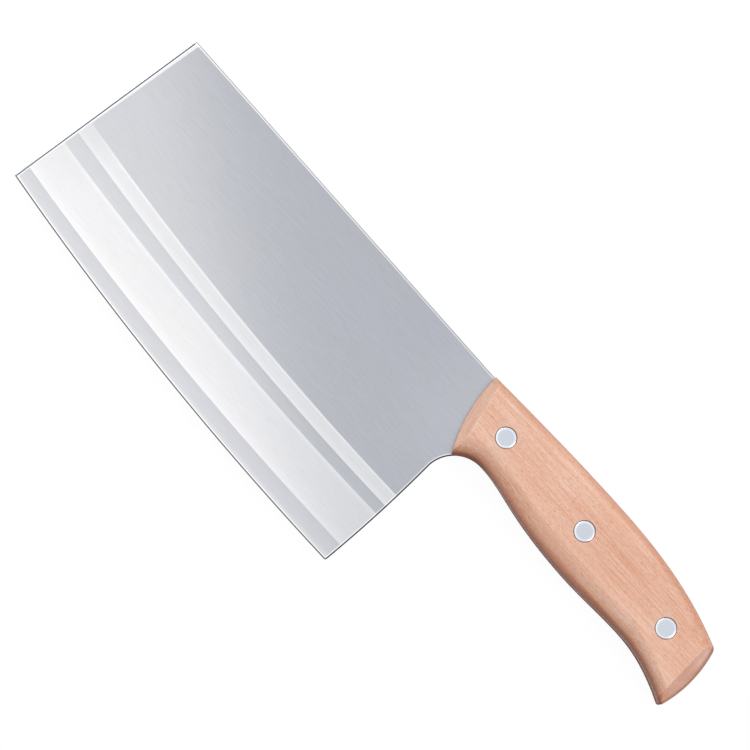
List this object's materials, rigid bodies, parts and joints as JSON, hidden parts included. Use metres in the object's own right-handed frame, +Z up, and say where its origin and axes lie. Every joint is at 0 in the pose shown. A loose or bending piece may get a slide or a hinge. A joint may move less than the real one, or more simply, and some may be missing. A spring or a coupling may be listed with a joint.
{
  "type": "chinese cleaver",
  "caption": "Broad rectangular kitchen cleaver with a ground steel blade, full tang and riveted wooden handle scales, lying on its side.",
  "frame": {"origin": "middle of the knife's outline, on the surface that it lies on, which is the outer face of the lower scale", "axes": "+X from the toe towards the butt along the spine, +Y from the edge towards the spine, +Z up, square to the blade, out of the upper scale"},
  "size_m": [0.3039, 0.0944, 0.021],
  "materials": {
    "blade_steel": "satin brushed flat with polished grind bands",
    "wood": "smooth sealed beech",
    "rivet_steel": "satin face with a bright rim"
  },
  "bodies": {
    "root": {"blade": "blade_steel", "scale_upper": "wood", "scale_lower": "wood", "rivet_tube_front": "rivet_steel", "rivet_tube_middle": "rivet_steel", "rivet_tube_rear": "rivet_steel", "rivet_pin_front": "rivet_steel", "rivet_pin_middle": "rivet_steel", "rivet_pin_rear": "rivet_steel"}
  },
  "joints": []
}
